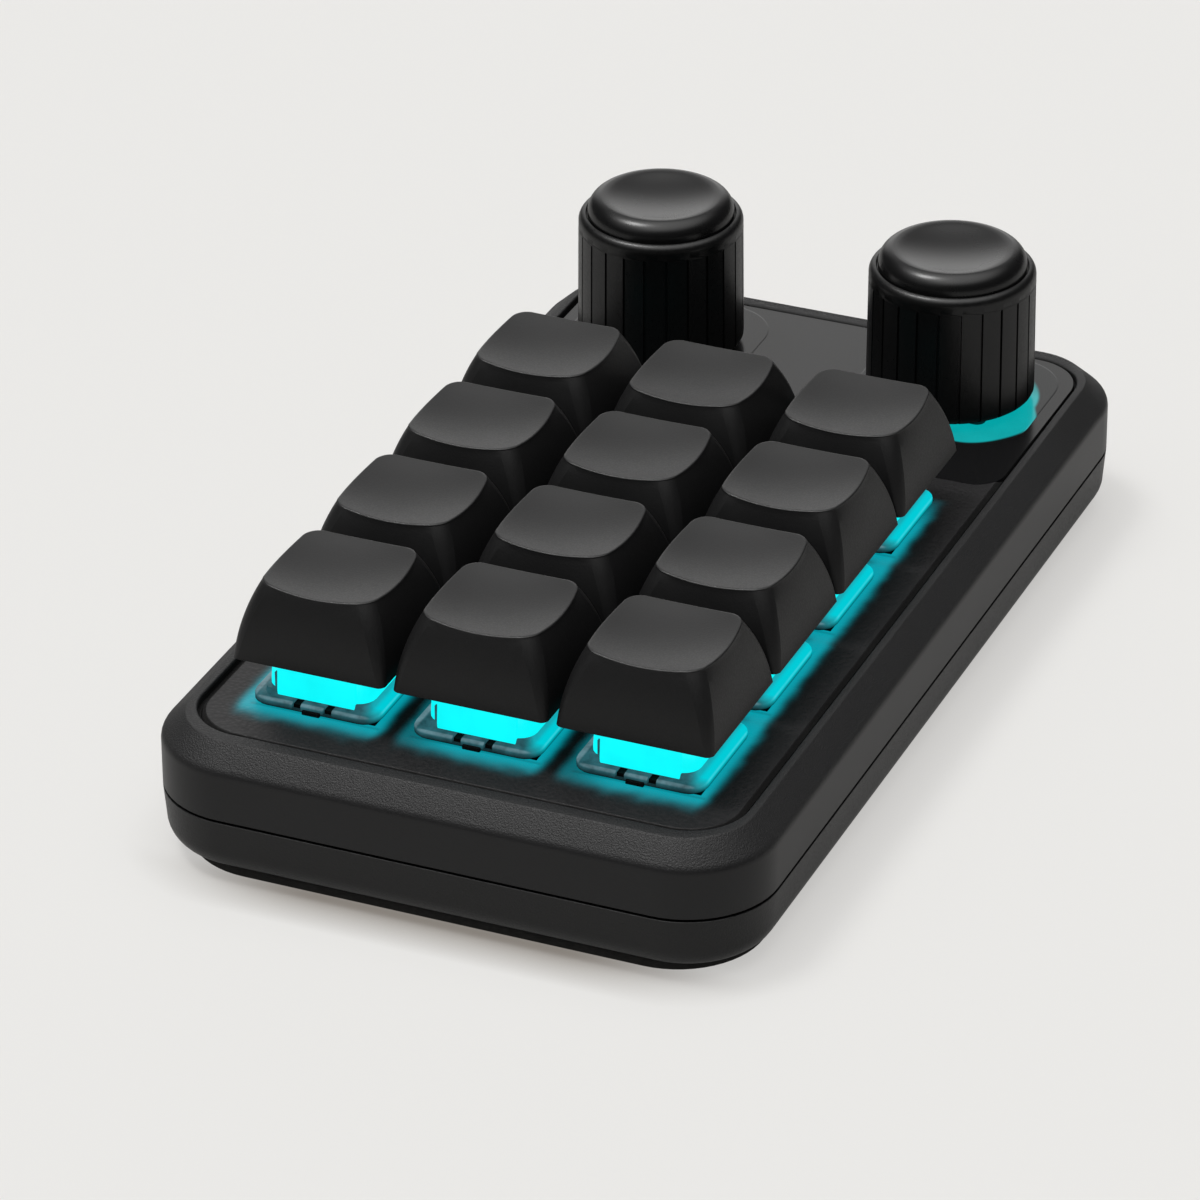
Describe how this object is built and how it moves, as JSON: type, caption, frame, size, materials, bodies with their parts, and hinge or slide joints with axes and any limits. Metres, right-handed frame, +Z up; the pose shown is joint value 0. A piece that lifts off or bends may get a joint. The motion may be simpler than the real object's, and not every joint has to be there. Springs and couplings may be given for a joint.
{
  "type": "macro keypad",
  "caption": "Small desk keypad: sprung keys on a grid, two ribbed knobs that turn and press behind them, in a rounded two-part case.",
  "frame": {"origin": "middle of the base pad's underside, on the table", "axes": "+X to the right, +Y from the front row of keys to the knobs, +Z up"},
  "size_m": [0.0716, 0.1254, 0.0354],
  "materials": {
    "pad": "matte rubber",
    "case_lower": "smooth satin moulding",
    "case_upper": "fine spark-eroded grain",
    "screws": "plated",
    "plate": "fine powder coat",
    "panel": "polished",
    "board": "solder mask",
    "chip": "moulded package",
    "usb": "plated",
    "lamps": "lit",
    "sockets": "moulded",
    "switch_base": "clear",
    "switch_cover": "clear, lit from inside",
    "spring": "bright wire",
    "stem": "moulded",
    "keycap": "fine matt grain",
    "encoder": "pressed",
    "light_dark": "diffusing, unlit",
    "light_lit": "diffusing, lit",
    "rotor": "moulded",
    "shaft": "turned",
    "knob": "satin",
    "knob_top": "satin, polished edge"
  },
  "bodies": {
    "case": {"base_pad": "pad", "bottom_shell": "case_lower", "top_frame": "case_upper", "case_screws": "screws", "key_plate": "plate", "knob_panel": "panel", "circuit_board": "board", "controller_chip": "chip", "usb_socket": "usb", "key_lights": "lamps", "switch_sockets": "sockets", "switch_bases": "switch_base", "switch_covers": "switch_cover", "encoder_bodies": "encoder", "knob_light_left": "light_dark", "knob_light_right": "light_lit", "key_spring_1": "spring", "key_spring_2": "spring", "key_spring_3": "spring", "key_spring_4": "spring", "key_spring_5": "spring", "key_spring_6": "spring", "key_spring_7": "spring", "key_spring_8": "spring", "key_spring_9": "spring", "key_spring_10": "spring", "key_spring_11": "spring", "key_spring_12": "spring"},
    "key_1": {"key_stem_1": "stem", "keycap_1": "keycap"},
    "key_2": {"key_stem_2": "stem", "keycap_2": "keycap"},
    "key_3": {"key_stem_3": "stem", "keycap_3": "keycap"},
    "key_4": {"key_stem_4": "stem", "keycap_4": "keycap"},
    "key_5": {"key_stem_5": "stem", "keycap_5": "keycap"},
    "key_6": {"key_stem_6": "stem", "keycap_6": "keycap"},
    "key_7": {"key_stem_7": "stem", "keycap_7": "keycap"},
    "key_8": {"key_stem_8": "stem", "keycap_8": "keycap"},
    "key_9": {"key_stem_9": "stem", "keycap_9": "keycap"},
    "key_10": {"key_stem_10": "stem", "keycap_10": "keycap"},
    "key_11": {"key_stem_11": "stem", "keycap_11": "keycap"},
    "key_12": {"key_stem_12": "stem", "keycap_12": "keycap"},
    "rotor_left": {"encoder_rotor_left": "rotor"},
    "knob_left": {"knob_shaft_left": "shaft", "knob_barrel_left": "knob", "knob_cap_left": "knob_top"},
    "rotor_right": {"encoder_rotor_right": "rotor"},
    "knob_right": {"knob_shaft_right": "shaft", "knob_barrel_right": "knob", "knob_cap_right": "knob_top"}
  },
  "joints": [
    {"name": "key_1_press", "type": "slide", "parent": "case", "child": "key_1", "axis": [0, 0, -1], "range_m": [0, 0.004], "stiffness_N_per_m": 50, "springref_m": -0.008, "deforming": ["key_spring_1"]},
    {"name": "key_2_press", "type": "slide", "parent": "case", "child": "key_2", "axis": [0, 0, -1], "range_m": [0, 0.004], "stiffness_N_per_m": 50, "springref_m": -0.008, "deforming": ["key_spring_2"]},
    {"name": "key_3_press", "type": "slide", "parent": "case", "child": "key_3", "axis": [0, 0, -1], "range_m": [0, 0.004], "stiffness_N_per_m": 50, "springref_m": -0.008, "deforming": ["key_spring_3"]},
    {"name": "key_4_press", "type": "slide", "parent": "case", "child": "key_4", "axis": [0, 0, -1], "range_m": [0, 0.004], "stiffness_N_per_m": 50, "springref_m": -0.008, "deforming": ["key_spring_4"]},
    {"name": "key_5_press", "type": "slide", "parent": "case", "child": "key_5", "axis": [0, 0, -1], "range_m": [0, 0.004], "stiffness_N_per_m": 50, "springref_m": -0.008, "deforming": ["key_spring_5"]},
    {"name": "key_6_press", "type": "slide", "parent": "case", "child": "key_6", "axis": [0, 0, -1], "range_m": [0, 0.004], "stiffness_N_per_m": 50, "springref_m": -0.008, "deforming": ["key_spring_6"]},
    {"name": "key_7_press", "type": "slide", "parent": "case", "child": "key_7", "axis": [0, 0, -1], "range_m": [0, 0.004], "stiffness_N_per_m": 50, "springref_m": -0.008, "deforming": ["key_spring_7"]},
    {"name": "key_8_press", "type": "slide", "parent": "case", "child": "key_8", "axis": [0, 0, -1], "range_m": [0, 0.004], "stiffness_N_per_m": 50, "springref_m": -0.008, "deforming": ["key_spring_8"]},
    {"name": "key_9_press", "type": "slide", "parent": "case", "child": "key_9", "axis": [0, 0, -1], "range_m": [0, 0.004], "stiffness_N_per_m": 50, "springref_m": -0.008, "deforming": ["key_spring_9"]},
    {"name": "key_10_press", "type": "slide", "parent": "case", "child": "key_10", "axis": [0, 0, -1], "range_m": [0, 0.004], "stiffness_N_per_m": 50, "springref_m": -0.008, "deforming": ["key_spring_10"]},
    {"name": "key_11_press", "type": "slide", "parent": "case", "child": "key_11", "axis": [0, 0, -1], "range_m": [0, 0.004], "stiffness_N_per_m": 50, "springref_m": -0.008, "deforming": ["key_spring_11"]},
    {"name": "key_12_press", "type": "slide", "parent": "case", "child": "key_12", "axis": [0, 0, -1], "range_m": [0, 0.004], "stiffness_N_per_m": 50, "springref_m": -0.008, "deforming": ["key_spring_12"]},
    {"name": "knob_left_turn", "type": "hinge", "parent": "case", "child": "rotor_left", "pos_m": [-0.0185, 0.0464, 0.02], "axis": [0, 0, 1], "continuous": true},
    {"name": "knob_left_press", "type": "slide", "parent": "rotor_left", "child": "knob_left", "axis": [0, 0, -1], "range_m": [0, 0.0005], "stiffness_N_per_m": 400, "springref_m": -0.005},
    {"name": "knob_right_turn", "type": "hinge", "parent": "case", "child": "rotor_right", "pos_m": [0.0185, 0.0464, 0.02], "axis": [0, 0, 1], "continuous": true},
    {"name": "knob_right_press", "type": "slide", "parent": "rotor_right", "child": "knob_right", "axis": [0, 0, -1], "range_m": [0, 0.0005], "stiffness_N_per_m": 400, "springref_m": -0.005}
  ]
}
